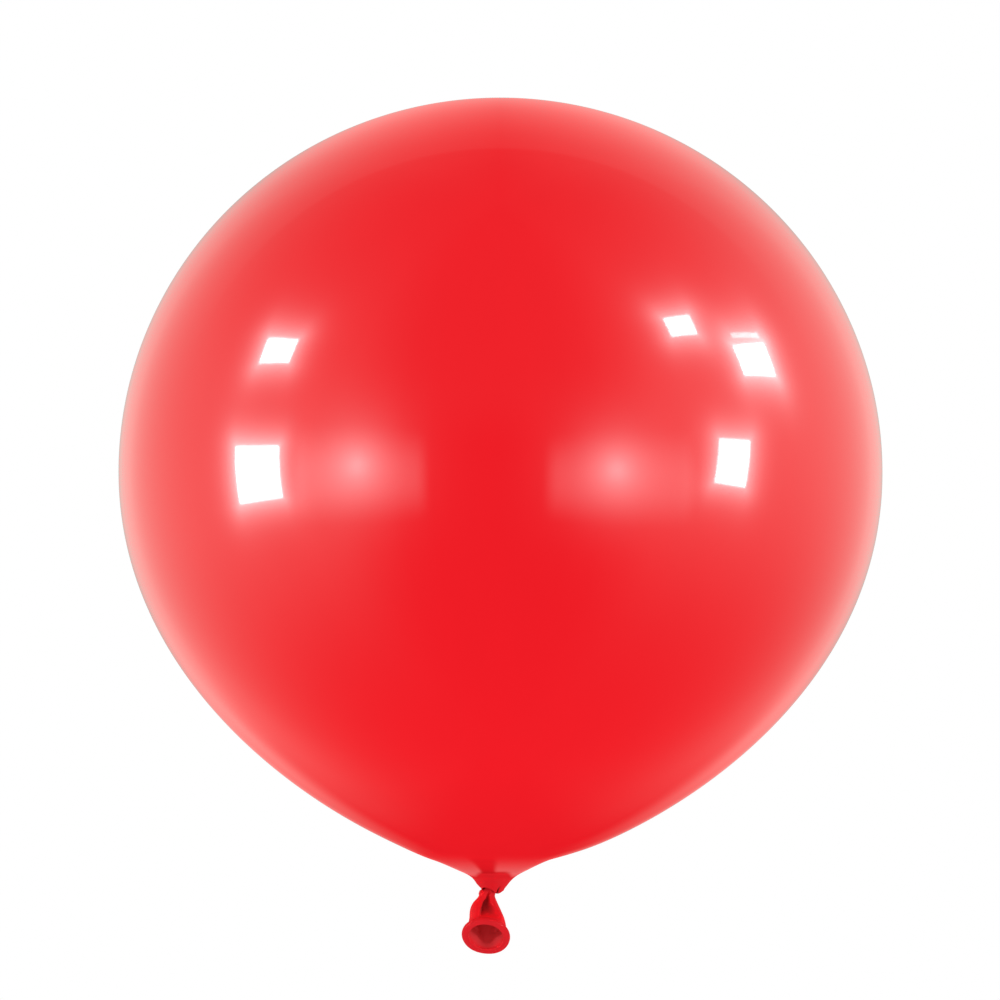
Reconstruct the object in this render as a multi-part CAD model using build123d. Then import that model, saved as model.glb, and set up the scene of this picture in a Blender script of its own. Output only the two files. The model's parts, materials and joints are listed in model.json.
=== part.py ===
from build123d import *

import os
from math import cos, pi, radians, sin, sqrt

# A round latex balloon, blown up and tied. Millimetres, +Z up, -Y is the front.
# The origin is the centre of the tied neck, just under the knot, where a ribbon goes round.
# The body of film above it is a surface of revolution. Its axis is vertical and stands a
# little to +X of the origin, because the knot pulls the neck below it to one side.

# ---- driving dimensions ----
body_diameter = 610.0  # rated size of a 24 inch balloon
crown_rise = 299.0  # equator to crown
equator_height = 338.4  # tied neck to equator
lower_fullness = 183.5  # how far the lower half keeps running straight down from the equator
shoulder_radius = 48.0  # where the round body turns into the neck's cone
shoulder_height = 29.2
shoulder_slope = 14.0  # degrees from level, where the body ends
shoulder_reach = 80.0  # length of the body's run into that slope
axis_offset = 5.7  # body axis, to +X of the tied neck
film = 0.8  # wall of the stand-in shell

knot_top_height = 16.4  # where the cone meets the knot
knot_ball_radius = 19.0  # everything in the knot stays inside this ball
knot_bottom_height = 3.8
knot_bottom_radius = 7.8
knot_plug_rise = 9.0  # the packed neck stands this far above the knot's widest place
loop_thickness = 5.0  # thickness of the turn of neck round the knot
loop_rounding = 2.1  # radius on the edges of that turn
loop_step = 0.6  # the turn stops this much short of the knot's ball and of its bottom rim
gather_outer_radius = 24.0  # outside of the bunched ring, from the knot's centre
spare = 1.0  # extra length on a cutting shape, so it passes clear of what it cuts

tied_neck_radius = 6.8
tail_radius = 14.8
tail_flare_length = 21.0  # the tail opens out over this length
tail_bend_radius = 37.4
tail_bend = 46.0  # degrees that the tail turns towards the front
mouth_length = 6.0  # straight round end of the tail
tail_wall = 1.2
fold_length = 9.0  # the tail is folded shut over this length below the knot
fold_opening = 0.25  # share of the full bore where the hollow starts
outside_sections = 9  # round sections that shape the tail's outside
hollow_sections = 7
lip_bead_radius = 2.65
lip_ring_radius = 17.2
lip_setback = 1.2  # bead centre, back from the mouth's edge

turning_gap = 0.4  # clearance between pieces that move on each other
ball_gap = 0.3  # clearance round the ball at the top of the tail

ELLIPSE_HANDLE = 4 / 3 * (sqrt(2) - 1)  # Bezier handle for a quarter ellipse, over its radius

body_radius = body_diameter / 2
body_axis = Pos(axis_offset, 0, 0)
knot_centre = Pos(0, 0, knot_top_height)
slope_along = (cos(radians(shoulder_slope)), sin(radians(shoulder_slope)))


def spin(edges):
    """Turns a closed outline, drawn as (radius, height), about the body's axis."""
    outline = Plane.XZ * Face(Wire(edges))
    return revolve(outline, Axis.Z)


def cone_height(radius):
    """Height of the cone's outer face at a radius, between the knot and the shoulder."""
    share = (radius - knot_ball_radius) / (shoulder_radius - knot_ball_radius)
    return knot_top_height + share * (shoulder_height - knot_top_height)


def body_side(inset):
    """The body's outline from equator to shoulder, set in by a wall thickness."""
    end = (
        shoulder_radius - inset * slope_along[1],
        shoulder_height + inset * slope_along[0],
    )
    return Bezier(
        (body_radius - inset, equator_height),
        (body_radius - inset, equator_height - lower_fullness),
        (end[0] + shoulder_reach * slope_along[0], end[1] + shoulder_reach * slope_along[1]),
        end,
    )


def body_top(inset):
    """The body's outline from crown to equator, a quarter of an ellipse."""
    across = body_radius - inset
    rise = crown_rise - inset
    return Bezier(
        (0, equator_height + rise),
        (across * ELLIPSE_HANDLE, equator_height + rise),
        (across, equator_height + rise * ELLIPSE_HANDLE),
        (across, equator_height),
    )


def make_envelope():
    outer_side = body_side(0)
    inner_side = body_side(film)
    outer_top = body_top(0)
    inner_top = body_top(film)
    edges = [
        outer_top,
        outer_side,
        Line(outer_side @ 1, inner_side @ 1),
        inner_side,
        inner_top,
        Line(inner_top @ 0, outer_top @ 0),
    ]
    return body_axis * spin(edges)


def make_neck_cone():
    outer_end = Vector(shoulder_radius, shoulder_height)
    inner_end = Vector(knot_ball_radius, knot_top_height)
    along = (outer_end - inner_end).normalized()
    inwards = Vector(-along.Y, along.X) * film
    rim = outer_end - along * turning_gap
    band = spin(Polyline(inner_end, rim, rim + inwards, inner_end + inwards, close=True).edges())
    return body_axis * (band - knot_centre * Sphere(gather_outer_radius + turning_gap))


def make_gathered_neck():
    reach = gather_outer_radius + spare
    top = knot_top_height + knot_plug_rise + spare
    above_cone = spin(
        Polyline(
            (0, knot_top_height),
            (knot_ball_radius, knot_top_height),
            (reach, cone_height(reach)),
            (reach, top),
            (0, top),
            close=True,
        ).edges()
    )
    ring = Sphere(gather_outer_radius) - Sphere(knot_ball_radius + turning_gap)
    return body_axis * (above_cone & knot_centre * ring)


def tail_socket():
    """The hollow in the knot that the ball at the top of the tail turns in."""
    return Sphere(tied_neck_radius + ball_gap)


def loop_ring():
    """A turn of rolled neck, slanting in towards the bottom of the knot."""
    outer_top = Vector(knot_ball_radius - loop_step, knot_top_height - turning_gap)
    outer_bottom = Vector(knot_bottom_radius, knot_bottom_height)
    along = (outer_top - outer_bottom).normalized()
    inwards = Vector(-along.Y, along.X) * loop_thickness
    section = Polyline(
        outer_bottom, outer_top, outer_top + inwards, outer_bottom + inwards, close=True
    )
    face = Face(Wire(section.edges()))
    rounded = fillet(face.vertices(), loop_rounding)
    return revolve(Plane.XZ * rounded, Axis.Z)


def make_knot_loop():
    return body_axis * loop_ring() - tail_socket()


def make_knot_core():
    plug_top = knot_top_height + knot_plug_rise
    shell = knot_centre * Sphere(knot_ball_radius)
    keep = spin(
        Polyline(
            (0, knot_bottom_height),
            (knot_bottom_radius - loop_step, knot_bottom_height),
            (knot_ball_radius, knot_top_height + spare),
            (knot_ball_radius, plug_top),
            (0, plug_top),
            close=True,
        ).edges()
    )
    packed = (shell & keep) - loop_ring()
    return body_axis * packed - tail_socket()


def tail_plane(distance):
    """Plane across the tail at a distance along its centre line from the tied neck."""
    bend_length = tail_bend_radius * radians(tail_bend)
    turned = min(distance, bend_length) / tail_bend_radius
    straight = max(distance - bend_length, 0)
    forwards = tail_bend_radius * (1 - cos(turned)) + straight * sin(turned)
    down = tail_bend_radius * sin(turned) + straight * cos(turned)
    return Plane(
        origin=(0, -forwards, -down),
        x_dir=(1, 0, 0),
        z_dir=(0, -sin(turned), -cos(turned)),
    )


def tail_outer_radius(distance):
    opened = sin(pi / 2 * min(distance / tail_flare_length, 1))
    return tied_neck_radius + (tail_radius - tied_neck_radius) * opened


def tail_inner_radius(distance):
    """The hollow starts as a small hole under the folds and opens to the full bore."""
    opened = min((distance - fold_length) / (tail_flare_length - fold_length), 1)
    bore = tail_radius - tail_wall
    return bore * (fold_opening + (1 - fold_opening) * sin(pi / 2 * opened))


def tail_loft(radius_at, start, end, count):
    step = (end - start) / (count - 1)
    places = [start + step * i for i in range(count)]
    return loft([tail_plane(place) * Circle(radius_at(place)) for place in places])


def make_neck_tail():
    bend_length = tail_bend_radius * radians(tail_bend)
    mouth = tail_plane(bend_length)
    onwards = (Align.CENTER, Align.CENTER, Align.MIN)
    outside = (
        Sphere(tied_neck_radius)
        + tail_loft(tail_outer_radius, 0, bend_length, outside_sections)
        + mouth * Cylinder(tail_radius, mouth_length, align=onwards)
    )
    hollow = tail_loft(tail_inner_radius, fold_length, bend_length, hollow_sections)
    bore = mouth * Cylinder(tail_radius - tail_wall, mouth_length + spare, align=onwards)
    return outside - (hollow + bore)


def make_rolled_lip():
    bend_length = tail_bend_radius * radians(tail_bend)
    place = tail_plane(bend_length + mouth_length - lip_setback)
    bead = Torus(lip_ring_radius, lip_bead_radius)
    return place * (bead - Cylinder(tail_radius, 4 * lip_bead_radius))


pieces = {
    "envelope": make_envelope(),
    "neck_cone": make_neck_cone(),
    "gathered_neck": make_gathered_neck(),
    "knot_loop": make_knot_loop(),
    "knot_core": make_knot_core(),
    "neck_tail": make_neck_tail(),
    "rolled_lip": make_rolled_lip(),
}

os.makedirs("parts", exist_ok=True)
for name, piece in pieces.items():
    export_step(piece, f"parts/{name}.step")
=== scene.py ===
import json
import math

import bpy
import numpy as np
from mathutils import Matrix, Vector


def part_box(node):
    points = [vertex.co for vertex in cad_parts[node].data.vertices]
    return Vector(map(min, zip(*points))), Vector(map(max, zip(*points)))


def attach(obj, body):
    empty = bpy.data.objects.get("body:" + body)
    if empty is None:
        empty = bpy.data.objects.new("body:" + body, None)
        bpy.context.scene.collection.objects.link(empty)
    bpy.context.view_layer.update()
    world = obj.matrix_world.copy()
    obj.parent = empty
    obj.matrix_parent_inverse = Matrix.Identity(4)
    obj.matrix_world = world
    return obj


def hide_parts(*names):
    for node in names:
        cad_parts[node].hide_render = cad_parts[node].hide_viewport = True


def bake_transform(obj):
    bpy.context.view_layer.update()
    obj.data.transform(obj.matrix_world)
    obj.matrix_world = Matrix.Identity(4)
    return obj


# A round red latex balloon, blown up and tied: its skin, its materials, the light it mirrors
# and the camera.

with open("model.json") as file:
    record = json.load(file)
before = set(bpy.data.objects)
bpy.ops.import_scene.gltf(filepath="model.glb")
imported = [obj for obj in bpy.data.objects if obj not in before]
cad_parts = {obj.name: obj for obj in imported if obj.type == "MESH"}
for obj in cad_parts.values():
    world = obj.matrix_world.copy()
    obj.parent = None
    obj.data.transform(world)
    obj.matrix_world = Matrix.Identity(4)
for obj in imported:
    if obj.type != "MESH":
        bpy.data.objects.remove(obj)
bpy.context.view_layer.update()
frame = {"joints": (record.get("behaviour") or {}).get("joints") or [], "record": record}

MM = 0.001
TURN = 2 * math.pi


# ---- places and sizes: metres, +Z up, -Y is the front ----

joints = {joint["name"]: joint for joint in frame["joints"]}
mounts = {mount["name"]: mount for mount in frame["record"]["mounts"]}
body_low, body_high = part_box("envelope")
axis_x, _, knot_top = joints["lean_sideways"]["pos_m"]
body_radius = (body_high.x - body_low.x) / 2
mouth_middle = Vector(mounts["mouth"]["pos_m"])
mouth_axis = Vector(mounts["mouth"]["axis"]).normalized()
mouth_length = mounts["mouth"]["dims"]["length_mm"] * MM

# The body of film, from its crown down to the shoulder, where the neck's cone begins.
crown = body_high.z
equator = crown - 0.9803 * body_radius
lower_fullness = 0.584 * body_radius  # how far the lower half keeps running straight down
shoulder = body_low.z - 0.3 * MM
shoulder_radius = 0.1574 * body_radius
shoulder_slope = math.radians(17)  # from level
shoulder_reach = 0.295 * body_radius  # length of the body's run into that slope
settled = shoulder + 60 * MM  # above this the film is plainly round
film_wall = 0.5 * MM

# The neck's cone and the collar of the knot below it, as (radius, height).
neck_handle = 8 * MM  # length of the cone's run out of the shoulder, and into its lower end
cone_end = (24.1 * MM, knot_top + 2.2 * MM)
collar_corner = (16.65 * MM, knot_top - 1.1 * MM)
collar_start = (12.7 * MM, knot_top - 6.2 * MM)
collar_slope = 0.776  # radius gained per unit of height
collar_wall = 1.0 * MM
nick_depth = 1.9 * MM
bulge_depth = 1.2 * MM

# The film has a painted whitish sheen beside the knot, apart from a narrow red stem at the front
# left.
painted_sheen_top = shoulder + 7 * MM
stem_angle = -9  # degrees from the front
stem_half_width = 7

# The tail's centre line: an arc from the tied neck, then straight to the mouth.
tail_bend = math.acos(-mouth_axis.z)
arc_end = mouth_middle - mouth_axis * (mouth_length / 2)
bend_radius = -arc_end.z / math.sin(tail_bend)
bend_length = bend_radius * tail_bend
tail_length = bend_length + mouth_length
tail_top = -7 * MM  # the tail starts inside the knot
tail_closed_at = 13 * MM  # the hollow reaches up to here from the mouth
tail_wall = 1.1 * MM
bead_ring_radius = 16.5 * MM
bead_setback = 1.2 * MM  # from the mouth's edge to the middle of the bead

FILM_COLUMNS = 288  # points round the film and the collar
TAIL_COLUMNS = 224
LAP = np.array([0.25, 0.6, 1.2]) * MM  # steps of a film's run past its seam
LAP_DEPTH = 0.08 * MM  # how far under its neighbour that run ends

SIDEWAYS = np.array([1.0, 0, 0])


# ---- small maths helpers ----


def smooth(x):
    """0 below 0 and 1 above 1, easing from one to the other between them."""
    x = np.clip(x, 0, 1)
    return x * x * (3 - 2 * x)


def degrees_off(angle, middle):
    """How many degrees an angle is away from a middle one, either way round."""
    return np.abs((np.degrees(angle) - middle + 180) % 360 - 180)


def bump(angle, middle, half_width):
    """1 at the middle angle, easing to 0 at half_width degrees to either side of it."""
    off = degrees_off(angle, middle)
    return 0.5 + 0.5 * np.cos(np.pi * np.clip(off / half_width, 0, 1))


def hump(x, middle, width):
    """1 at the middle, dying away evenly to both sides of it."""
    return np.exp(-(((x - middle) / width) ** 2))


def eased(at, places, values):
    """A smooth curve through a few values: cubic, with no overshoot between them."""
    places = np.array(places, float)
    values = np.array(values, float)
    steps = np.diff(values) / np.diff(places)
    slopes = np.concatenate([[steps[0]], (steps[1:] + steps[:-1]) / 2, [steps[-1]]])
    slopes[1:-1][steps[1:] * steps[:-1] <= 0] = 0
    at = np.clip(at, places[0], places[-1])
    i = np.clip(np.searchsorted(places, at) - 1, 0, len(places) - 2)
    width = places[i + 1] - places[i]
    t = (at - places[i]) / width
    return (
        values[i] * (1 + 2 * t) * (1 - t) ** 2
        + slopes[i] * width * t * (1 - t) ** 2
        + values[i + 1] * t * t * (3 - 2 * t)
        + slopes[i + 1] * width * t * t * (t - 1)
    )


def bezier(points, t):
    """Points of a Bezier curve with these control points, at shares t of the way along it."""
    points = [np.array(p, float) for p in points]
    while len(points) > 1:
        points = [a + (b - a) * t[:, None] for a, b in zip(points, points[1:])]
    return points[0]


def distances(outline):
    """Distance of each point of an outline from its first, along the outline."""
    step = np.linalg.norm(np.diff(outline, axis=0), axis=1)
    return np.concatenate([[0], np.cumsum(step)])


def points_at(places, outline):
    """Points of an outline at given distances along it."""
    along = distances(outline)
    return np.stack([np.interp(places, along, outline[:, k]) for k in (0, 1)], axis=1)


def spread(outline, count):
    """Points spaced evenly along an outline."""
    return points_at(np.linspace(0, distances(outline)[-1], count), outline)


def inset(outline, depth):
    """The same outline moved inwards, off its own normals."""
    run = np.gradient(outline, axis=0)
    run /= np.linalg.norm(run, axis=1)[:, None]
    inwards = np.stack([run[:, 1], -run[:, 0]], axis=1)
    return outline + inwards * depth


# ---- mesh helpers ----


def angles(columns):
    """Angles round a piece: 0 is the front (-Y) and +90 degrees is +X."""
    return np.arange(columns) * TURN / columns - math.pi


def round_axis(radius, height, angle):
    """Points about the body's axis."""
    radius, height, angle = np.broadcast_arrays(radius, height, angle)
    return np.stack([axis_x + radius * np.sin(angle), -radius * np.cos(angle), height], axis=-1)


def mesh_from_rings(name, rings, first_pole=None, last_pole=None, joined=False):
    """
    A surface through rings of points. A pole closes the surface at its end; joined makes the
    last ring meet the first.
    """
    rings = np.array(rings)
    count, columns = rings.shape[:2]
    points = rings.reshape(-1, 3).tolist()
    faces = []
    pairs = [(k, k + 1) for k in range(count - 1)]
    if joined:
        pairs.append((count - 1, 0))
    for a, b in pairs:
        for c in range(columns):
            d = (c + 1) % columns
            faces.append((a * columns + c, a * columns + d, b * columns + d, b * columns + c))
    for pole, ring, flip in ((first_pole, 0, False), (last_pole, count - 1, True)):
        if pole is None:
            continue
        tip = len(points)
        points.append(list(pole))
        for c in range(columns):
            d = (c + 1) % columns
            face = (tip, ring * columns + d, ring * columns + c)
            faces.append(face[::-1] if flip else face)
    mesh = bpy.data.meshes.new(name)
    mesh.from_pydata(points, [], faces)
    mesh.validate()
    mesh.shade_smooth()
    piece = bpy.data.objects.new(name, mesh)
    bpy.context.scene.collection.objects.link(piece)
    turn_outwards(piece)
    return piece


def turn_outwards(piece):
    """Flips the faces if the closed surface is inside out."""
    mesh = piece.data
    mesh.calc_loop_triangles()
    corners = np.array([t.vertices for t in mesh.loop_triangles])
    points = np.array([v.co for v in mesh.vertices])
    a, b, c = (points[corners[:, k]] for k in range(3))
    if np.sum(a * np.cross(b, c)) < 0:
        mesh.flip_normals()
    mesh.update()


def store(piece, name, values):
    """Keeps one number per point on the mesh, for its material."""
    attribute = piece.data.attributes.new(name, "FLOAT", "POINT")
    attribute.data.foreach_set("value", np.array(values, np.float32).ravel())


def angle_and_height(piece):
    """Angle about the body's axis, and height, of every point of a piece."""
    points = np.array([v.co for v in piece.data.vertices])
    return np.arctan2(points[:, 0] - axis_x, -points[:, 1]), points[:, 2]


# ---- the film above the knot ----


def shoulder_line(reach):
    """A point on the straight line that touches the film at the shoulder."""
    return (
        shoulder_radius + reach * math.cos(shoulder_slope),
        shoulder + reach * math.sin(shoulder_slope),
    )


def body_outline():
    """From the crown to the shoulder: a quarter of an ellipse, then a run in to the neck."""
    t = np.linspace(0, 1, 3000)
    across = body_radius * np.sin(t * math.pi / 2)
    rise = (crown - equator) * np.cos(t * math.pi / 2)
    top = np.stack([across, equator + rise], axis=1)
    below = bezier(
        [
            (body_radius, equator),
            (body_radius, equator - lower_fullness),
            shoulder_line(shoulder_reach),
            shoulder_line(0),
        ],
        t,
    )
    return np.concatenate([top, below[1:]])


def neck_outline():
    """From the shoulder to the top of the collar, turning a little as it comes in."""
    slope = math.atan2(cone_end[1] - collar_corner[1], cone_end[0] - collar_corner[0])
    run_in = (
        cone_end[0] + neck_handle * math.cos(slope),
        cone_end[1] + neck_handle * math.sin(slope),
    )
    points = [shoulder_line(0), shoulder_line(-neck_handle), run_in, cone_end]
    return bezier(points, np.linspace(0, 1, 200))


def collar_outline():
    """The turn from the cone down into the collar's slanting side."""
    return bezier([cone_end, collar_corner, collar_start], np.linspace(0, 1, 120))


def seam_places():
    """Distances from the crown to the shoulder and to the collar, along the film."""
    to_shoulder = distances(body_outline())[-1]
    return to_shoulder, to_shoulder + distances(neck_outline())[-1]


def lapped(first, last, count):
    """
    Points along the film from one seam to another, both measured from the crown. Past each
    seam the film runs on a little under its neighbour, so the two meet with one slope.
    """
    line = np.concatenate([body_outline(), neck_outline()[1:], collar_outline()[1:]])
    at = np.linspace(first, last, count)
    if first > 0:
        at = np.concatenate([first - LAP[::-1], at])
    at = np.concatenate([at, last + LAP])
    past = np.maximum(np.maximum(first - at, at - last), 0) / LAP[-1]
    return inset(points_at(at, line), (LAP_DEPTH * past**2)[:, None])


def sag(radius, angle):
    """The film hangs a little lower on the left of the neck than on its right."""
    return 1.5 * MM * np.sin(angle) * hump(radius, 46 * MM, 26 * MM)


def gathers(angle, height):
    """Fine radial creases in the film, strongest at the knot and gone at the shoulder."""
    strength = 0.09 * MM * (1 - smooth((height - knot_top) / (shoulder - knot_top))) ** 2
    wave = 0.5 * np.sin(13 * angle + 1.3) + 0.3 * np.sin(22 * angle + 0.4)
    return strength * (wave + 0.2 * np.sin(37 * angle + 2.2))


def beside_stem(angle):
    """0 in the narrow stem at the front left, 1 on both sides of it."""
    return smooth((degrees_off(angle, stem_angle) - stem_half_width) / 9)


def painted_sheen(angle, height):
    """
    How strong the painted whitish sheen beside the knot is. The stem stays red, and so does the knot
    itself, whose red reaches highest in the middle.
    """
    lower_beside = 4.6 * smooth((degrees_off(angle, 3) - 14) / 42)
    red_top = cone_end[1] + (0.2 - lower_beside) * MM
    above = smooth((height - red_top) / (3.0 * MM))
    fading = np.clip((painted_sheen_top - height) / (painted_sheen_top - cone_end[1]), 0, 1) ** 2
    return beside_stem(angle) * above * fading


def store_shades(piece):
    """
    Keeps the painted sheen, the stem, and the knot's deeper red with its painted shade on the piece,
    for its material. The stem ends a little above the shoulder, and the knot's red and painted shade
    a little above the collar.
    """
    angle, height = angle_and_height(piece)
    rising = 1 - smooth((height - shoulder + 1 * MM) / (6 * MM))
    store(piece, "painted_sheen", painted_sheen(angle, height))
    store(piece, "stem", (1 - beside_stem(angle)) * rising)
    store(piece, "knot_red_and_shade", 1 - smooth((height - cone_end[1] + 0.5 * MM) / (5 * MM)))


def film_rings(outer, count):
    """Rings down the outside of a length of film and back up its inside."""
    angle = angles(FILM_COLUMNS)
    inner = inset(spread(outer, count), film_wall)
    rings = []
    for r, z in [*outer, *inner[::-1]]:
        low = z < settled
        crease = gathers(angle, z) * low
        hang = sag(r, angle) * low
        rings.append(round_axis(r + crease, z + hang, angle))
    return rings


def make_body_film():
    to_shoulder = seam_places()[0]
    outer = lapped(0, to_shoulder, 220)[1:]
    outer_pole = (axis_x, 0, crown)
    inner_pole = (axis_x, 0, crown - film_wall)
    piece = mesh_from_rings("body_film", film_rings(outer, 60), outer_pole, inner_pole)
    store_shades(piece)
    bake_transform(piece)
    return piece


def make_neck_film():
    to_shoulder, to_collar = seam_places()
    outer = lapped(to_shoulder, to_collar, 30)
    piece = mesh_from_rings("neck_film", film_rings(outer, 14), joined=True)
    store_shades(piece)
    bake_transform(piece)
    return piece


# ---- the knot ----


def collar_edge(angle):
    """Height of the collar's lower edge: lifted at the front left, with a tip at the front right."""
    rise = 2.9 * bump(angle, -40, 54)
    tip = 2.7 * bump(angle, 36, 52)
    return (4.6 + rise - tip + 0.3 * np.sin(3 * angle + 0.5)) * MM


def collar_nick(angle, height):
    """A small upright fold just to the right of the tail, deepest at the collar's edge."""
    deep = hump(np.degrees(angle), 31, 6.0)
    return nick_depth * deep * smooth((9.5 * MM - height) / (5.5 * MM))


def collar_bulge(angle, height):
    """The turn of neck inside the collar fills it out on the left."""
    return bulge_depth * bump(angle, -90, 75) * hump(height, 9.5 * MM, 4 * MM)


def collar_shape(angle, height):
    """How far the collar's surface stands out from, or in from, a plain round one."""
    return gathers(angle, height) + collar_bulge(angle, height) - collar_nick(angle, height)


def collar_side(angle):
    """Radius and height round the collar, before its shape is added, from the top to the edge."""
    to_collar = seam_places()[1]
    turn_in = distances(collar_outline())[-1]
    side = []
    for r, z in lapped(to_collar, to_collar + turn_in, 20)[: -len(LAP)]:
        side.append((np.full(len(angle), r), np.full(len(angle), z)))
    edge = collar_edge(angle)
    for t in np.linspace(0, 1, 26)[1:]:
        z = collar_start[1] + t * (edge - collar_start[1])
        r = collar_start[0] + collar_slope * (z - collar_start[1])
        flared = 0.35 * MM * smooth((t - 0.8) / 0.2)
        side.append((r + flared, z))
    return side


def collar_rings(angle):
    """Rings down the outside, round the lower edge, and up the inside."""
    side = collar_side(angle)
    rings = []
    for r, z in side:
        rings.append(round_axis(r + collar_shape(angle, z), z + sag(r, angle), angle))
    r, z = side[-1]
    edge_r = r + collar_shape(angle, z)
    edge_z = z + sag(edge_r, angle)
    for turned in np.linspace(0, math.pi, 8)[1:-1]:
        inwards = collar_wall / 2 * (1 - np.cos(turned))
        down = collar_wall / 2 * np.sin(turned)
        rings.append(round_axis(edge_r - inwards, edge_z - down, angle))
    for r, z in side[::-1]:
        inner_r = r + collar_shape(angle, z) - collar_wall
        inner_z = z + sag(r, angle) + 0.2 * collar_wall
        rings.append(round_axis(inner_r, inner_z, angle))
    return rings


def make_knot_collar():
    piece = mesh_from_rings("knot_collar", collar_rings(angles(FILM_COLUMNS)), joined=True)
    store_shades(piece)
    angle, height = angle_and_height(piece)
    # Painted shade in a band at the top of the collar, and darker still in its nick.
    collar_band_shade = hump(height, knot_top - 0.5 * MM, 2.5 * MM)
    in_nick = collar_nick(angle, height) / nick_depth
    store(piece, "painted_shade_depth", 2.0 * collar_band_shade + 14.0 * in_nick)
    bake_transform(piece)
    return piece


def make_knot_turn():
    """
    The turn of rolled neck under the collar, seen from the left, behind and below: an oval loop
    a little behind the tied neck, tilted up to the right, with a twist in its skin.
    """
    angle = angles(40)
    rings = []
    for a in angles(120) + math.pi:
        middle = np.array([3.7 * math.sin(a), 2.0 - 3.4 * math.cos(a), 2.2 + 0.8 * math.sin(a)])
        out = np.array([math.sin(a), -math.cos(a), 0])
        thick = 2.3 + 0.25 * math.sin(2 * a + 0.6)
        twisted = thick * (1 + 0.07 * np.cos(5 * angle + 3 * a)) * MM
        sideways = np.cos(angle)[:, None] * out
        upright = np.sin(angle)[:, None] * np.array([0, 0, 1.15])
        rings.append(middle * MM + twisted[:, None] * (sideways + upright))
    piece = mesh_from_rings("knot_turn", rings, joined=True)
    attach(piece, "knot")
    return piece


# ---- the tail ----


def tail_place(distance):
    """Centre of the tail at a distance along it, and the way across it that faces the front."""
    turned = min(max(distance, 0), bend_length) / bend_radius
    straight = max(distance - bend_length, 0) + min(distance, 0)
    forwards = bend_radius * (1 - math.cos(turned)) + straight * math.sin(turned)
    down = bend_radius * math.sin(turned) + straight * math.cos(turned)
    front = np.array([0.0, -math.cos(turned), math.sin(turned)])
    return np.array([0.0, -forwards, -down]), front


def tail_section(distance, angle, wall):
    """
    Sideways and forward reach of the tail's surface round one section, set in by a wall. The
    section's half widths are in millimetres, at places along the tail from the tied neck.
    """
    s = distance / MM
    places = (-7, -2.4, 0.8, 6, 10.5, 15, 20, 27, 36)
    left = eased(s, places, (3.4, 5.3, 6.0, 10.2, 12.2, 12.9, 13.4, 14.7, 14.8)) * MM
    right = eased(s, places, (4.2, 6.6, 7.2, 9.4, 11.5, 13.4, 15.2, 16.2, 14.9)) * MM
    front = eased(s, places, (3.6, 5.2, 6.0, 8.0, 10.5, 12.6, 13.8, 14.6, 14.8)) * MM
    back = eased(s, places, (3.2, 4.8, 5.6, 7.4, 9.6, 11.8, 13.4, 14.6, 14.8)) * MM
    across = np.sin(angle) * np.where(np.sin(angle) > 0, right - wall, left - wall)
    forward = np.cos(angle) * np.where(np.cos(angle) > 0, front - wall, back - wall)
    return across, forward


def fold_edges(distance):
    """Angles of the left and right edges of the fold in the front of the tail, in degrees."""
    s = distance / MM
    places = (-4, 0.8, 6, 12, 20)
    return eased(s, places, (6, 0, -17, -17, -14)), eased(s, places, (22, 30, 34, 50, 70))


def tail_fold(distance, angle):
    """How deep the front of the tail is folded in: a sharp left side and a slack right side."""
    s = distance / MM
    deep = eased(s, (-5, -1, 3, 8, 13, 18, 23, 29), (0, 2.5, 6.5, 7.8, 7.0, 5.2, 3.0, 0)) * MM
    left, right = fold_edges(distance)
    degrees = np.degrees(angle)
    opening = smooth((degrees - left + 7) / 7)
    across = (degrees - left) / (right - left)
    closing = 1 - smooth((across - 0.3) / 0.7)
    return deep * opening * closing


def tail_overhang(distance, angle):
    """The left lip of the fold leans over it."""
    reach = eased(distance / MM, (-5, 0, 5, 10, 17), (0, 0.8, 1.6, 1.2, 0)) * MM
    left = fold_edges(distance)[0]
    return reach * bump(angle, left - 8, 22)


def swollen(angle):
    """Where the film inside the mouth is drawn in: at its lower left and lower right."""
    return bump(angle, -124, 74) + bump(angle, 130, 66)


def tail_squeeze(distance, angle, wall):
    """
    The slack tube is drawn in at its lower left and lower right, just behind the mouth. Inside,
    where the film doubles over, the two swellings are broader and leave a three-cornered opening.
    """
    s = distance / MM
    strength = smooth((36 - s) / 7) * smooth((s - 14) / 10)
    drawn = strength * (4.6 * bump(angle, -124, 52) + 4.4 * bump(angle, 132, 46))
    if wall > 0:
        lip = smooth((35.5 - s) / 5.5) * smooth((s - 17) / 11)
        drawn = np.maximum(drawn, lip * 4.9 * swollen(angle))
    return drawn * MM


def mouth_oval(across, forward, share):
    """The mouth is a little taller than wide, sits low, and its top leans to the left."""
    leaned = across + (0.6 * MM - 0.09 * forward) * share
    return leaned, forward + (0.065 * forward - 2.0 * MM) * share


def tail_drift(distance):
    """The top of the tail leans to the right, into the middle of the knot."""
    return 2.6 * MM * smooth((1 * MM - distance) / (7 * MM))


def tail_ring(distance, angle, wall):
    """Points round one section of the tail, set in by a wall."""
    middle, front = tail_place(distance)
    across, forward = tail_section(distance, angle, wall)
    forward = forward - tail_fold(distance, angle)
    across = across + tail_overhang(distance, angle)
    reach = np.hypot(across, forward)
    drawn = 1 - tail_squeeze(distance, angle, wall) / np.maximum(reach, 4 * MM)
    near_mouth = smooth((distance - 16 * MM) / (14 * MM))
    across, forward = mouth_oval(across * drawn, forward * drawn, near_mouth)
    return middle + np.outer(across + tail_drift(distance), SIDEWAYS) + np.outer(forward, front)


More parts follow.
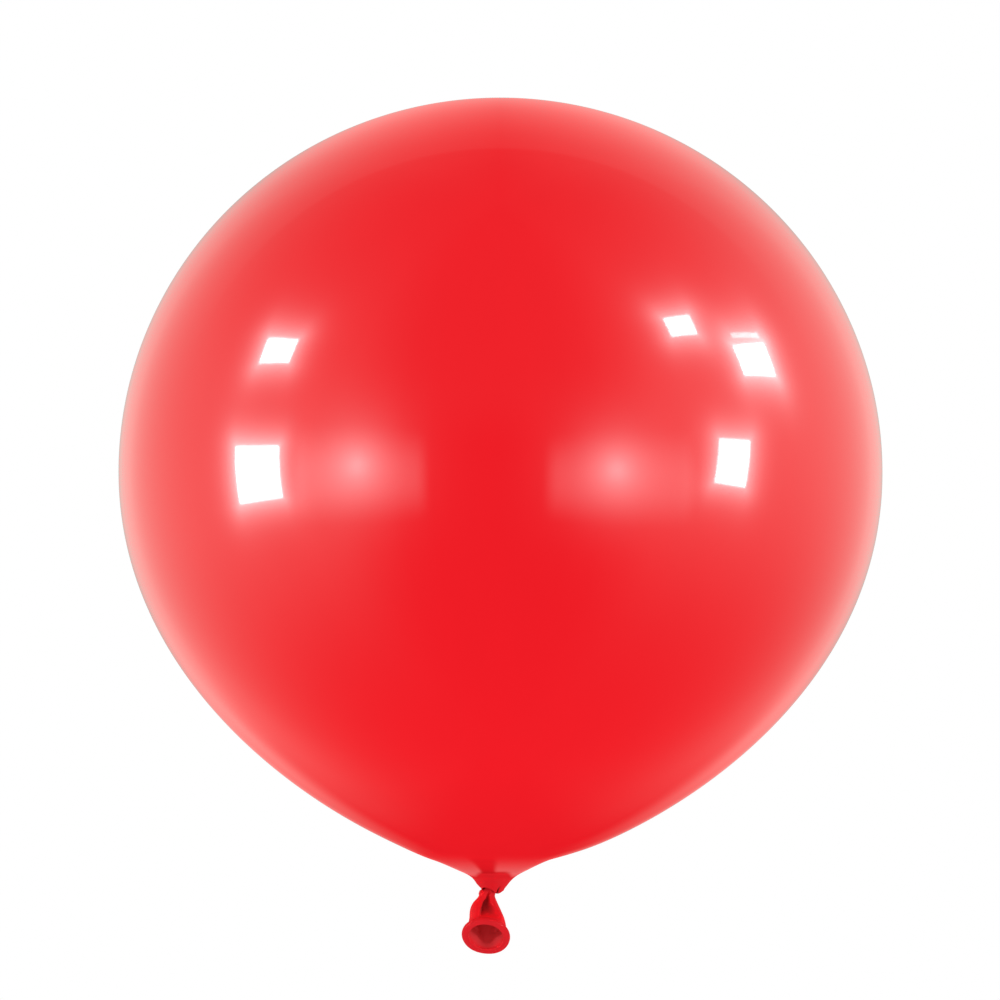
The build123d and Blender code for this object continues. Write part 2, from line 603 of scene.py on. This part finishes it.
def make_tail_film():
    """
    The folded tube, down its outside and back up its inside. Painted shade is kept for the material:
    in its fold, by the fold's depth in millimetres, under the knot, and in the dim part of its
    inside.
    """
    angle = angles(TAIL_COLUMNS)
    none = np.zeros(TAIL_COLUMNS)
    rings = []
    painted_shade_depth = []
    inside = []
    for place in np.linspace(tail_top, tail_length, 110):
        # Painted shade on the tail's top, under the collar.
        under_knot_shade = 2.0 * (1 - smooth((place + 5 * MM) / (3 * MM)))
        rings.append(tail_ring(place, angle, 0))
        # Painted shade in the fold, by its depth in millimetres.
        painted_shade_depth.append(tail_fold(place, angle) / MM + under_knot_shade)
        inside.append(none)
    for place in np.linspace(tail_closed_at, tail_length, 46)[::-1]:
        # Painted shade inside the mouth, full deep in and fading out towards its edge.
        dim_at = (33.6 - 2.2 * swollen(angle)) * MM
        rings.append(tail_ring(place, angle, tail_wall))
        painted_shade_depth.append(none)
        inside.append(1 - smooth((place - dim_at) / (35.5 * MM - dim_at)))
    first = np.mean(rings[0], axis=0)
    last = np.mean(rings[-1], axis=0)
    piece = mesh_from_rings("tail_film", rings, first, last)
    store(piece, "painted_shade_depth", np.append(np.concatenate(painted_shade_depth), [0, 0]))
    store(piece, "inside", np.append(np.concatenate(inside), [0, 1]))
    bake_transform(piece)
    return piece


def make_mouth_bead():
    """The lip rolled back on itself: a thick bead with the roll's own edge showing outside."""
    angle = angles(48)
    middle, front = tail_place(tail_length - bead_setback)
    along = np.array(mouth_axis)
    roll_edge = 1 - 0.12 * hump(angle, 2.2, 0.22)
    rings = []
    for a in angles(200):
        out = math.sin(a) * SIDEWAYS + math.cos(a) * front
        ring = bead_ring_radius + 0.15 * MM * math.sin(3 * a + 0.8)
        across, forward = mouth_oval(ring * math.sin(a), ring * math.cos(a), 1)
        centre = middle + across * SIDEWAYS + forward * front
        thick = (2.8 + 0.3 * math.cos(a) + 0.08 * math.sin(5 * a + 1)) * MM
        outwards = (thick * roll_edge * np.cos(angle))[:, None] * out
        endways = (thick * roll_edge * np.sin(angle))[:, None] * along
        rings.append(centre + outwards + endways)
    piece = mesh_from_rings("mouth_bead", rings, joined=True)
    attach(piece, "tail")
    return piece


# ---- materials ----


class Shader:
    """A node tree under construction. Sockets and plain numbers mix freely as inputs."""

    def __init__(self, tree):
        self.tree = tree
        tree.nodes.clear()

    def add(self, kind, settings=None, out=0, **inputs):
        """Adds a node and gives its output. An input is named, or i and its number."""
        node = self.tree.nodes.new(kind)
        for name, value in (settings or {}).items():
            setattr(node, name, value)
        for name, value in inputs.items():
            self.plug(node, name, value)
        return node.outputs[out] if node.outputs else node

    def plug(self, node, name, value):
        key = int(name[1:]) if name[0] == "i" and name[1:].isdigit() else name.replace("_", " ")
        if isinstance(value, bpy.types.NodeSocket):
            self.tree.links.new(value, node.inputs[key])
        else:
            node.inputs[key].default_value = value

    def math(self, operation, a, b=0.0, clamp=False):
        settings = {"operation": operation, "use_clamp": clamp}
        return self.add("ShaderNodeMath", settings, i0=a, i1=b)

    def plus(self, total, *others):
        for other in others:
            total = self.math("ADD", total, other)
        return total

    def minus(self, a, b):
        return self.math("SUBTRACT", a, b)

    def times(self, total, *others):
        for other in others:
            total = self.math("MULTIPLY", total, other)
        return total

    def length(self, a, b, least=0.0):
        """Length of a line from its two parts, rounded off to the least length near 0."""
        square = self.plus(self.times(a, a), self.times(b, b), least**2)
        return self.math("SQRT", square)

    def decay(self, distance, reach):
        """1 at no distance, dying away with it."""
        return self.math("EXPONENT", self.times(distance, -1 / reach))

    def vector(self, operation, a, b, out="Vector"):
        return self.add("ShaderNodeVectorMath", {"operation": operation}, out, i0=a, i1=b)

    def scaled(self, vector, factor):
        return self.add("ShaderNodeVectorMath", {"operation": "SCALE"}, i0=vector, i3=factor)

    def split(self, vector):
        """The X, Y and Z parts of a vector."""
        node = self.tree.nodes.new("ShaderNodeSeparateXYZ")
        self.plug(node, "i0", vector)
        return node.outputs

    def noise(self, vector, scale, detail=2.0, roughness=0.5):
        return self.add(
            "ShaderNodeTexNoise",
            Vector=vector,
            Scale=scale,
            Detail=detail,
            Roughness=roughness,
        )

    def stretched(self, vector, across, along):
        """A place scaled by one number sideways and by another along Z, for streaks."""
        return self.add("ShaderNodeMapping", Vector=vector, Scale=(across, across, along))

    def fade(self, value, low, high, to_low=0.0, to_high=1.0):
        """Eases from to_low to to_high as the value goes from low to high."""
        settings = {"interpolation_type": "SMOOTHSTEP"}
        return self.add(
            "ShaderNodeMapRange", settings, i0=value, i1=low, i2=high, i3=to_low, i4=to_high
        )

    def attribute(self, name):
        """A number stored on the mesh; 0 on a mesh that has none."""
        return self.add("ShaderNodeAttribute", {"attribute_name": name}, out="Fac")

    def mix(self, share, a, b):
        """A colour between a, at share 0, and b, at share 1."""
        settings = {"data_type": "RGBA"}
        return self.add("ShaderNodeMix", settings, out=2, i0=share, i6=a, i7=b)

    def relief(self, height, strength, depth):
        """A normal tilted by a height that is too fine to be in the mesh."""
        return self.add("ShaderNodeBump", Height=height, Strength=strength, Distance=depth)


# Reds of the latex, by where the film is.
THIN = (0.905, 0.0118, 0.019, 1)  # stretched tight, over most of the body
THICK = (0.60, 0.008, 0.013, 1)  # less stretched: at the crown spot and towards the neck
DRAWN_IN_AND_SHADED = (0.70, 0.0105, 0.016, 1)  # drawn together just above the knot: deeper red, with painted shade next to the collar
PAINTED_SHEEN = (0.92, 0.146, 0.146, 1)  # painted whitish sheen beside the knot
KNOTTED = (0.80, 0.0135, 0.021, 1)  # in the collar and the turn under it
SLACK = (0.90, 0.0170, 0.026, 1)  # in the tail
ROLLED = (0.73, 0.0125, 0.020, 1)  # in the bead at the mouth
SHADED = (0.42, 0.022, 0.026, 1)  # deep in a fold
UNLIT = (0.10, 0.004, 0.006, 1)  # in the deepest part of a fold
SHADED_INSIDE = (0.66, 0.037, 0.043, 1)  # painted shade inside the mouth

LATEX_IOR = 1.5


def new_material(name):
    material = bpy.data.materials.new(name)
    material.use_nodes = True
    return material, Shader(material.node_tree)


def finish_latex(s, color, roughness, coat, coat_roughness, normal):
    """Only the coat mirrors the studio; the latex under it is matt."""
    surface = s.add(
        "ShaderNodeBsdfPrincipled",
        Base_Color=color,
        Roughness=roughness,
        IOR=LATEX_IOR,
        Specular_IOR_Level=0.0,
        Coat_Weight=coat,
        Coat_Roughness=coat_roughness,
        Coat_IOR=LATEX_IOR,
        Normal=normal,
        Coat_Normal=normal,
    )
    s.add("ShaderNodeOutputMaterial", Surface=surface)


def painted_light_raise(s, color, coat, stem):
    """
    Painted light: the color is raised where the film faces up or down and is seen edge-on, less so in
    the stem, by what the coat's mirroring takes away from it, as if more light fell on it from above
    and below.
    """
    facing = s.split(s.add("ShaderNodeNewGeometry", out="Normal"))[2]
    upwards = s.fade(facing, 0.7, 1.0, 0.0, 0.85)
    downwards = s.fade(s.times(facing, -1.0), 0.3, 0.8, 0.0, 0.9)
    downwards = s.times(downwards, s.fade(stem, 0.0, 1.0, 1.0, 0.25))
    mirrored = s.add("ShaderNodeFresnel", IOR=LATEX_IOR)
    lost = s.times(mirrored, s.plus(upwards, downwards), coat)
    lost = s.math("MINIMUM", lost, 0.7)
    return s.scaled(color, s.math("DIVIDE", 1.0, s.minus(1.0, lost)))


def thick_share(s, place, cloud, streak):
    """How thick the film is: in faint streaks, towards the neck, and in a spot at the crown."""
    x, y, z = s.split(place)
    variation = s.plus(s.times(cloud, 0.5), s.times(streak, 0.5))
    uneven = s.fade(variation, 0.35, 0.65, 0.0, 0.05)
    near_neck = s.fade(z, shoulder - 4 * MM, shoulder + 90 * MM, 0.16, 0.0)
    from_axis = s.length(s.minus(x, axis_x), y)
    ragged = s.plus(from_axis, s.times(cloud, 6 * MM))
    crown_spot = s.times(s.fade(ragged, 9 * MM, 26 * MM, 0.55, 0.0), s.fade(z, equator, crown))
    return s.math("ADD", s.plus(uneven, near_neck), crown_spot, clamp=True)


def stretched_latex():
    """Tight, glossy film: paler where it is stretched thin, deeper at the crown spot and the neck."""
    material, s = new_material("stretched_latex")
    place = s.add("ShaderNodeTexCoord", out="Object")
    cloud = s.noise(place, 5.0, 3.0)
    streak = s.noise(s.stretched(place, 26.0, 1.6), 1.0, 4.0, 0.6)
    speck = s.noise(place, 420.0, 2.0, 0.6)

    color = s.mix(thick_share(s, place, cloud, streak), THIN, THICK)
    # Deeper red of film drawn in at the knot, with painted shade next to the collar.
    color = s.mix(s.attribute("knot_red_and_shade"), color, DRAWN_IN_AND_SHADED)
    # Painted whitish sheen beside the knot.
    color = s.mix(s.attribute("painted_sheen"), color, PAINTED_SHEEN)

    # The skin is duller in a ring at the shoulder, and rougher under the painted sheen.
    height = s.split(place)[2]
    from_shoulder = s.math("ABSOLUTE", s.minus(height, shoulder + 1 * MM))
    coat = s.fade(from_shoulder, 1.5 * MM, 8 * MM, 0.4, 1.0)
    coat_roughness = s.fade(s.attribute("painted_sheen"), 0.0, 1.0, 0.03, 0.2)
    # Painted light: the red is raised where the film faces up or down.
    color = painted_light_raise(s, color, coat, s.attribute("stem"))

    roughness = s.fade(cloud, 0.3, 0.7, 0.19, 0.25)
    grain = s.plus(s.times(streak, 0.6), s.times(speck, 0.12))
    normal = s.relief(grain, 0.05, 0.4 * MM)
    finish_latex(s, color, roughness, coat, coat_roughness, normal)
    return material


def gathered_latex(name, red, sheen_roughness):
    """Slack, thick film at the knot and below it: deeper red, a satin skin, fine creases along it,
    with painted shade in its folds, its nick, under the collar and inside the mouth, and the painted
    sheen beside the knot.
    """
    material, s = new_material(name)
    place = s.add("ShaderNodeTexCoord", out="Object")
    crease = s.noise(s.stretched(place, 700.0, 90.0), 1.0, 3.0, 0.55)
    cloud = s.noise(place, 160.0, 3.0)
    painted_shade_depth = s.attribute("painted_shade_depth")
    inside = s.attribute("inside")

    cloudy = s.fade(cloud, 0.3, 0.7, 0.0, 0.14)
    # Painted shade in folds, in the nick and under the collar, over an uneven cloudy tone of the
    # film.
    cloudy_and_shaded = s.math("ADD", cloudy, s.fade(painted_shade_depth, 1.0, 8.0), clamp=True)
    color = s.mix(cloudy_and_shaded, red, SHADED)
    color = s.mix(s.fade(painted_shade_depth, 6.5, 14.0), color, UNLIT)
    # Painted shade inside the mouth.
    color = s.mix(inside, color, SHADED_INSIDE)
    # Painted whitish sheen beside the knot, on the collar.
    color = s.mix(s.attribute("painted_sheen"), color, PAINTED_SHEEN)

    # No sheen reaches into the folds or the mouth.
    hidden = s.math("MAXIMUM", s.fade(painted_shade_depth, 0.2, 2.0), inside)
    coat = s.times(s.minus(1.0, hidden), 0.10)
    roughness = s.fade(crease, 0.3, 0.7, sheen_roughness, sheen_roughness + 0.1)
    grain = s.plus(s.times(crease, 0.5), s.times(cloud, 0.6))
    normal = s.relief(grain, 0.10, 0.2 * MM)
    finish_latex(s, color, roughness, coat, 0.3, normal)
    return material


def pale_floor():
    """White floor that needs no light of its own, with a painted shadow: a touch dimmer under the
    balloon.
    """
    material, s = new_material("pale_floor")
    place = s.add("ShaderNodeTexCoord", out="Object")
    from_middle = s.vector("LENGTH", place, (0, 0, 0), "Value")
    speck = s.noise(place, 30.0, 3.0)
    # Painted shadow: dimmer near the middle, under the balloon; the speck is an uneven tone.
    tone_and_shadow = s.plus(s.fade(from_middle, 0.8, 3.2, 0.955, 1.0), s.times(speck, 0.004))
    glow = s.add("ShaderNodeEmission", Strength=tone_and_shadow)
    s.add("ShaderNodeOutputMaterial", Surface=glow)
    return material


# ---- the studio: light seen by the film, all set out from the camera ----

# Softboxes that the film mirrors. Azimuth and elevation are in degrees from the direction the
# camera looks in; the other sizes are on a plane square to that light, at a distance of 1.
SOFTBOXES = (
    # azimuth, elevation, half width, half height, slope, lean, strength, edge
    (-102.5, -0.7, 0.146, 0.120, -0.05, 0.10, 30.0, 0.020),
    (-99.2, 29.3, 0.097, 0.054, -0.22, 0.19, 26.0, 0.020),
    (106.3, 2.3, 0.102, 0.100, 0.09, -0.22, 26.0, 0.020),
    (87.6, 24.7, 0.110, 0.062, 0.22, -0.16, 30.0, 0.020),
    (86.1, 30.2, 0.099, 0.011, 0.30, -0.40, 8.0, 0.010),
    (110.2, 38.4, 0.077, 0.045, 0.16, -0.18, 26.0, 0.020),
)
# Glow round each softbox: how far it reaches, and its level beside the light.
GLOWS = (
    (0.055, 0.36),
    (0.28, 0.01),
)
BARS = 300.0  # radians of the softbox's louvre per unit of height
BAR_DEPTH = 0.1

# Dim lit panels behind the camera. Left and right are as seen by someone facing the panel.
PANELS = (
    # azimuth, elevation, half width, half height, strength at the right and at the left
    (-136.8, -1.6, 0.37, 0.25, 1.9, 1.2),
    (143.1, -2.6, 0.41, 0.25, 1.1, 1.4),
)
# Bulbs behind the two panels.
BULBS = (
    # azimuth, elevation, spread, strength
    (-136.8, 1.8, 0.115, 9.0),
    (145.3, 0.5, 0.115, 9.0),
)
BULB_RADIUS = 0.03

# The pale walls round the studio: brightest beside and beyond the balloon, dark behind the
# camera. Degrees from straight ahead, and a level; the first two stops are the ends.
WALL_STOPS = (
    (0, 0.30),
    (180, 0.015),
    (15, 0.71),
    (30, 1.0),
    (100, 0.97),
    (120, 0.88),
    (130, 0.71),
    (140, 0.38),
    (150, 0.13),
    (160, 0.04),
)
WALL_BRIGHTNESS = 1.3
WALL_TILT = 6.5  # degrees that the band of light is higher at the far right than ahead
WALL_SPREAD_UP = 45  # degrees
WALL_SPREAD_DOWN = 38
# Dark places in the walls, straight ahead and low: the elevations between which each one fades
# out upwards, and the turns from straight ahead between which it fades out to the sides.
DARK_PLACES = (
    (-33, -18, 8, 42),
    (-24, 2, 4, 22),
)
WALL_TINT = (1, 0.98, 0.90)
LAMP_TINT = (0.92, 1, 1.02)


def look_direction(azimuth, elevation):
    """Right, up and forward parts, in the camera's own space."""
    a = math.radians(azimuth)
    e = math.radians(elevation)
    return Vector((math.sin(a) * math.cos(e), math.sin(e), math.cos(a) * math.cos(e)))


def light_plane(s, direction, azimuth, elevation):
    """Coordinates of a direction on the plane of a light, and whether it faces that way."""
    centre = look_direction(azimuth, elevation)
    right = Vector((0, 1, 0)).cross(centre).normalized()
    up = centre.cross(right)
    across, upright, ahead = (
        s.vector("DOT_PRODUCT", direction, axis, "Value") for axis in (right, up, centre)
    )
    depth = s.math("MAXIMUM", ahead, 0.05)
    facing = s.math("GREATER_THAN", ahead, 0.06)
    return s.math("DIVIDE", across, depth), s.math("DIVIDE", upright, depth), facing


def softbox(s, direction, light):
    """A sharp, faintly barred rectangle of light with a tight and a wide glow round it."""
    azimuth, elevation, half_width, half_height, slope, lean, strength, edge = light
    p, q, facing = light_plane(s, direction, azimuth, elevation)
    across = s.math("ABSOLUTE", s.minus(p, s.times(q, lean)))
    upright = s.math("ABSOLUTE", s.minus(q, s.times(p, slope)))
    inside_x = s.fade(across, half_width - edge / 2, half_width + edge / 2, 1.0, 0.0)
    inside_y = s.fade(upright, half_height - edge / 2, half_height + edge / 2, 1.0, 0.0)
    bars = s.math("SINE", s.times(q, BARS))
    louvre = s.plus(s.times(bars, BAR_DEPTH), 1 - BAR_DEPTH)
    lit = s.times(inside_x, inside_y, louvre)
    past_x = s.math("MAXIMUM", s.minus(across, half_width), 0.0)
    past_y = s.math("MAXIMUM", s.minus(upright, half_height), 0.0)
    past = s.length(past_x, past_y)
    for reach, level in GLOWS:
        lit = s.plus(lit, s.times(s.decay(past, reach), level))
    return s.times(lit, facing, strength)


def panel(s, direction, light):
    """A dim rectangle with blurred edges, uneven from side to side."""
    azimuth, elevation, half_width, half_height, at_right, at_left = light
    p, q, facing = light_plane(s, direction, azimuth, elevation)
    inside_x = s.fade(s.math("ABSOLUTE", p), half_width * 0.86, half_width * 1.14, 1.0, 0.0)
    inside_y = s.fade(s.math("ABSOLUTE", q), half_height * 0.08, half_height * 1.15, 1.0, 0.0)
    level = s.fade(p, -half_width, half_width, at_left, at_right)
    return s.times(inside_x, inside_y, level, facing)


def bulb(s, direction, light):
    """A soft round light."""
    azimuth, elevation, spread_out, strength = light
    p, q, facing = light_plane(s, direction, azimuth, elevation)
    away = s.length(p, q, BULB_RADIUS)
    return s.times(s.decay(away, spread_out), facing, strength)


def wall_level(s, turned):
    """How bright the walls are at an angle turned from straight ahead, in degrees."""
    ramp = s.tree.nodes.new("ShaderNodeValToRGB")
    s.plug(ramp, "i0", s.math("DIVIDE", turned, 180.0))
    elements = ramp.color_ramp.elements
    for index, (place, level) in enumerate(WALL_STOPS):
        element = elements[index] if index < 2 else elements.new(place / 180)
        element.color = (level, level, level, 1)
    return ramp.outputs[0]


def studio_walls(s, direction):
    """A band of pale wall, dark straight ahead and low, with a dim ceiling and backdrop."""
    right, up, ahead = s.split(direction)
    turned = s.math("DEGREES", s.math("ARCTAN2", s.math("ABSOLUTE", right), ahead))
    raised = s.math("DEGREES", s.math("ARCSINE", up))
    tilted = s.minus(raised, s.times(right, WALL_TILT))
    above = s.math("DIVIDE", s.math("MAXIMUM", tilted, 0.0), WALL_SPREAD_UP)
    below = s.math("DIVIDE", s.math("MINIMUM", tilted, 0.0), WALL_SPREAD_DOWN)
    off = s.plus(s.times(above, above), s.times(below, below))
    band = s.times(wall_level(s, turned), s.decay(off, 1), WALL_BRIGHTNESS)
    for low, high, near, far in DARK_PLACES:
        dark = s.times(s.fade(raised, low, high, 1.0, 0.0), s.fade(turned, near, far, 1.0, 0.0))
        band = s.times(band, s.minus(1.0, dark))
    ceiling = s.fade(raised, 5, 25, 0.0, 0.11)
    backdrop = s.times(s.fade(raised, 15, 45), s.fade(ahead, 0.46, 0.485, 0.0, 0.09))
    return s.plus(band, ceiling, backdrop)


def mirrored_studio(s):
    """Brightness that the glossy film mirrors from each direction round the camera."""
    around = s.add("ShaderNodeTexCoord", out="Generated")
    settings = {"vector_type": "VECTOR", "convert_from": "WORLD", "convert_to": "CAMERA"}
    direction = s.add("ShaderNodeVectorTransform", settings, Vector=around)
    lamps = 0.0
    for kind, lights in ((softbox, SOFTBOXES), (panel, PANELS), (bulb, BULBS)):
        for light in lights:
            lamps = s.plus(lamps, kind(s, direction, light))
    walls = studio_walls(s, direction)
    return s.vector("ADD", s.scaled(WALL_TINT, walls), s.scaled(LAMP_TINT, lamps))


def make_world():
    """Even white light for the latex itself, and the mirrored studio for its gloss."""
    world = bpy.data.worlds.new("studio")
    world.use_nodes = True
    world.cycles.sampling_method = "NONE"  # the plain light is even, so it needs no aiming
    bpy.context.scene.world = world
    s = Shader(world.node_tree)
    glossy = s.add("ShaderNodeLightPath", out="Is Glossy Ray")
    plain = s.add("ShaderNodeBackground", Color=(1, 1, 1, 1), Strength=1.0)
    mirrored = s.add("ShaderNodeBackground", Color=mirrored_studio(s), Strength=1.0)
    either = s.add("ShaderNodeMixShader", i0=glossy, i1=plain, i2=mirrored)
    s.add("ShaderNodeOutputWorld", Surface=either)


def make_floor():
    """A wide round floor well under the balloon. It casts nothing on the balloon."""
    radius = 3.2
    height = -1.2
    angle = angles(96)
    level = np.full(len(angle), height)
    rings = [
        np.stack([r * np.sin(angle), -r * np.cos(angle), level], axis=1)
        for r in np.linspace(0.2, radius, 12)
    ]
    floor = mesh_from_rings("studio_floor", rings, (0, 0, height))
    floor.visible_glossy = False
    floor.visible_diffuse = False
    floor.visible_shadow = False
    floor.data.materials.append(pale_floor())


def make_camera():
    """Level with the balloon, square on to its front, with a long lens and a slight roll."""
    data = bpy.data.cameras.new("camera")
    data.lens = 300
    data.sensor_width = 36
    data.clip_start = 0.05
    data.clip_end = 50
    camera = bpy.data.objects.new("camera", data)
    bpy.context.scene.collection.objects.link(camera)
    filled = 0.764  # share of the view's width that the body takes
    half_view = data.sensor_width / 2 / data.lens
    distance = body_radius / math.sin(math.atan(filled * half_view))
    below_equator = 0.0731 * body_radius
    roll = math.radians(-1.0)
    camera.location = (axis_x, -distance, equator - below_equator)
    camera.rotation_euler = (math.pi / 2, roll, 0)
    bpy.context.scene.camera = camera


# ---- the scene ----

view_settings = bpy.context.scene.view_settings
view_settings.view_transform = "Standard"
view_settings.look = "None"

body = make_body_film()
neck = make_neck_film()
collar = make_knot_collar()
turn = make_knot_turn()
tail = make_tail_film()
bead = make_mouth_bead()

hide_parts("envelope")
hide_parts("neck_cone")
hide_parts("gathered_neck", "knot_loop")
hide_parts("knot_core")
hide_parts("neck_tail")
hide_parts("rolled_lip")

stretched = stretched_latex()
knotted = gathered_latex("knotted_latex", KNOTTED, 0.3)
slack = gathered_latex("slack_latex", SLACK, 0.34)
rolled = gathered_latex("rolled_latex", ROLLED, 0.32)
for piece, material, slot in (
    (body, stretched, "stretched_film"),
    (neck, stretched, "stretched_film"),
    (collar, knotted, "gathered_film"),
    (turn, knotted, "gathered_film"),
    (tail, slack, "slack_film"),
    (bead, rolled, "slack_film"),
):
    piece.data.materials.append(material)
for piece in (tail, bead):
    piece.visible_glossy = False  # the film above does not mirror them

make_world()
make_floor()
make_camera()
